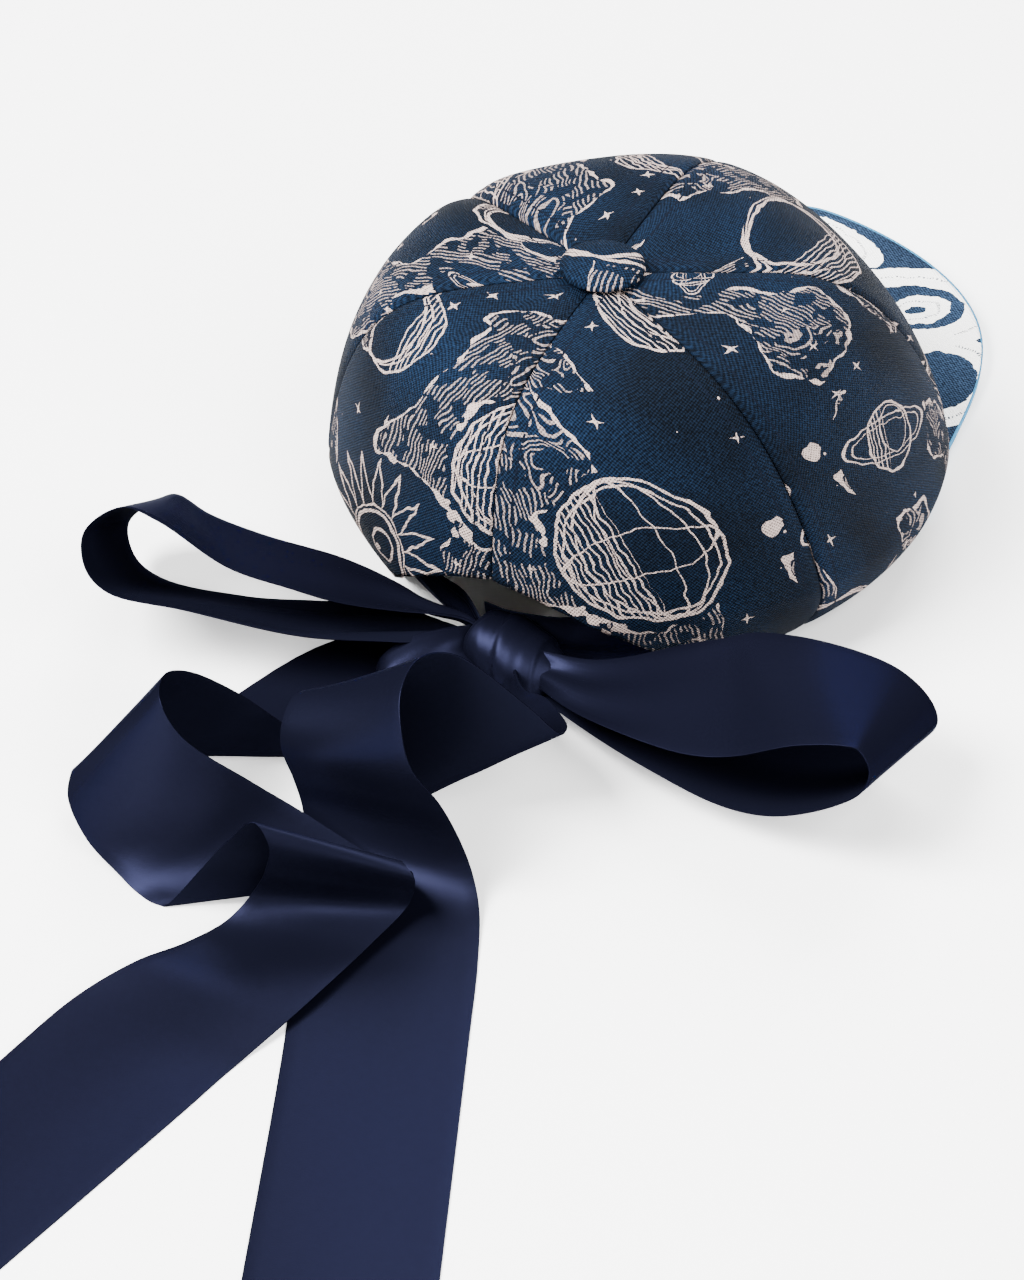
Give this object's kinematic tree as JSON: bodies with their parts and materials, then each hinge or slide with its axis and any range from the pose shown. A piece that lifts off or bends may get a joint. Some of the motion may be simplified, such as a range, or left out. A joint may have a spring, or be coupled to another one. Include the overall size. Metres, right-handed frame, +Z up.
{
  "type": "cap",
  "caption": "Panelled cap with a covered button, a curved visor, an arch opening at the back and a wide satin ribbon tied behind it in a bow with long tails.",
  "frame": {"origin": "middle of the bounding box, on the surface that the cap rests on", "axes": "+Z up, the visor points to -Y, the bow and its tails lie towards +Y, +X is the wearer's left"},
  "size_m": [0.2582, 0.518, 0.1084],
  "materials": {
    "canvas": "coarse printed cotton canvas",
    "visor_canvas": "printed cotton canvas over a board",
    "satin": "single-faced satin ribbon"
  },
  "bodies": {
    "root": {"panel_front_left": "canvas", "panel_side_left": "canvas", "panel_back_left": "canvas", "panel_front_right": "canvas", "panel_side_right": "canvas", "panel_back_right": "canvas", "visor": "visor_canvas", "button": "canvas", "knot": "satin", "tail_right": "satin", "tail_left": "satin", "loop_left": "satin", "loop_right": "satin", "ribbon_anchor_left": "satin", "ribbon_anchor_right": "satin"}
  },
  "joints": []
}
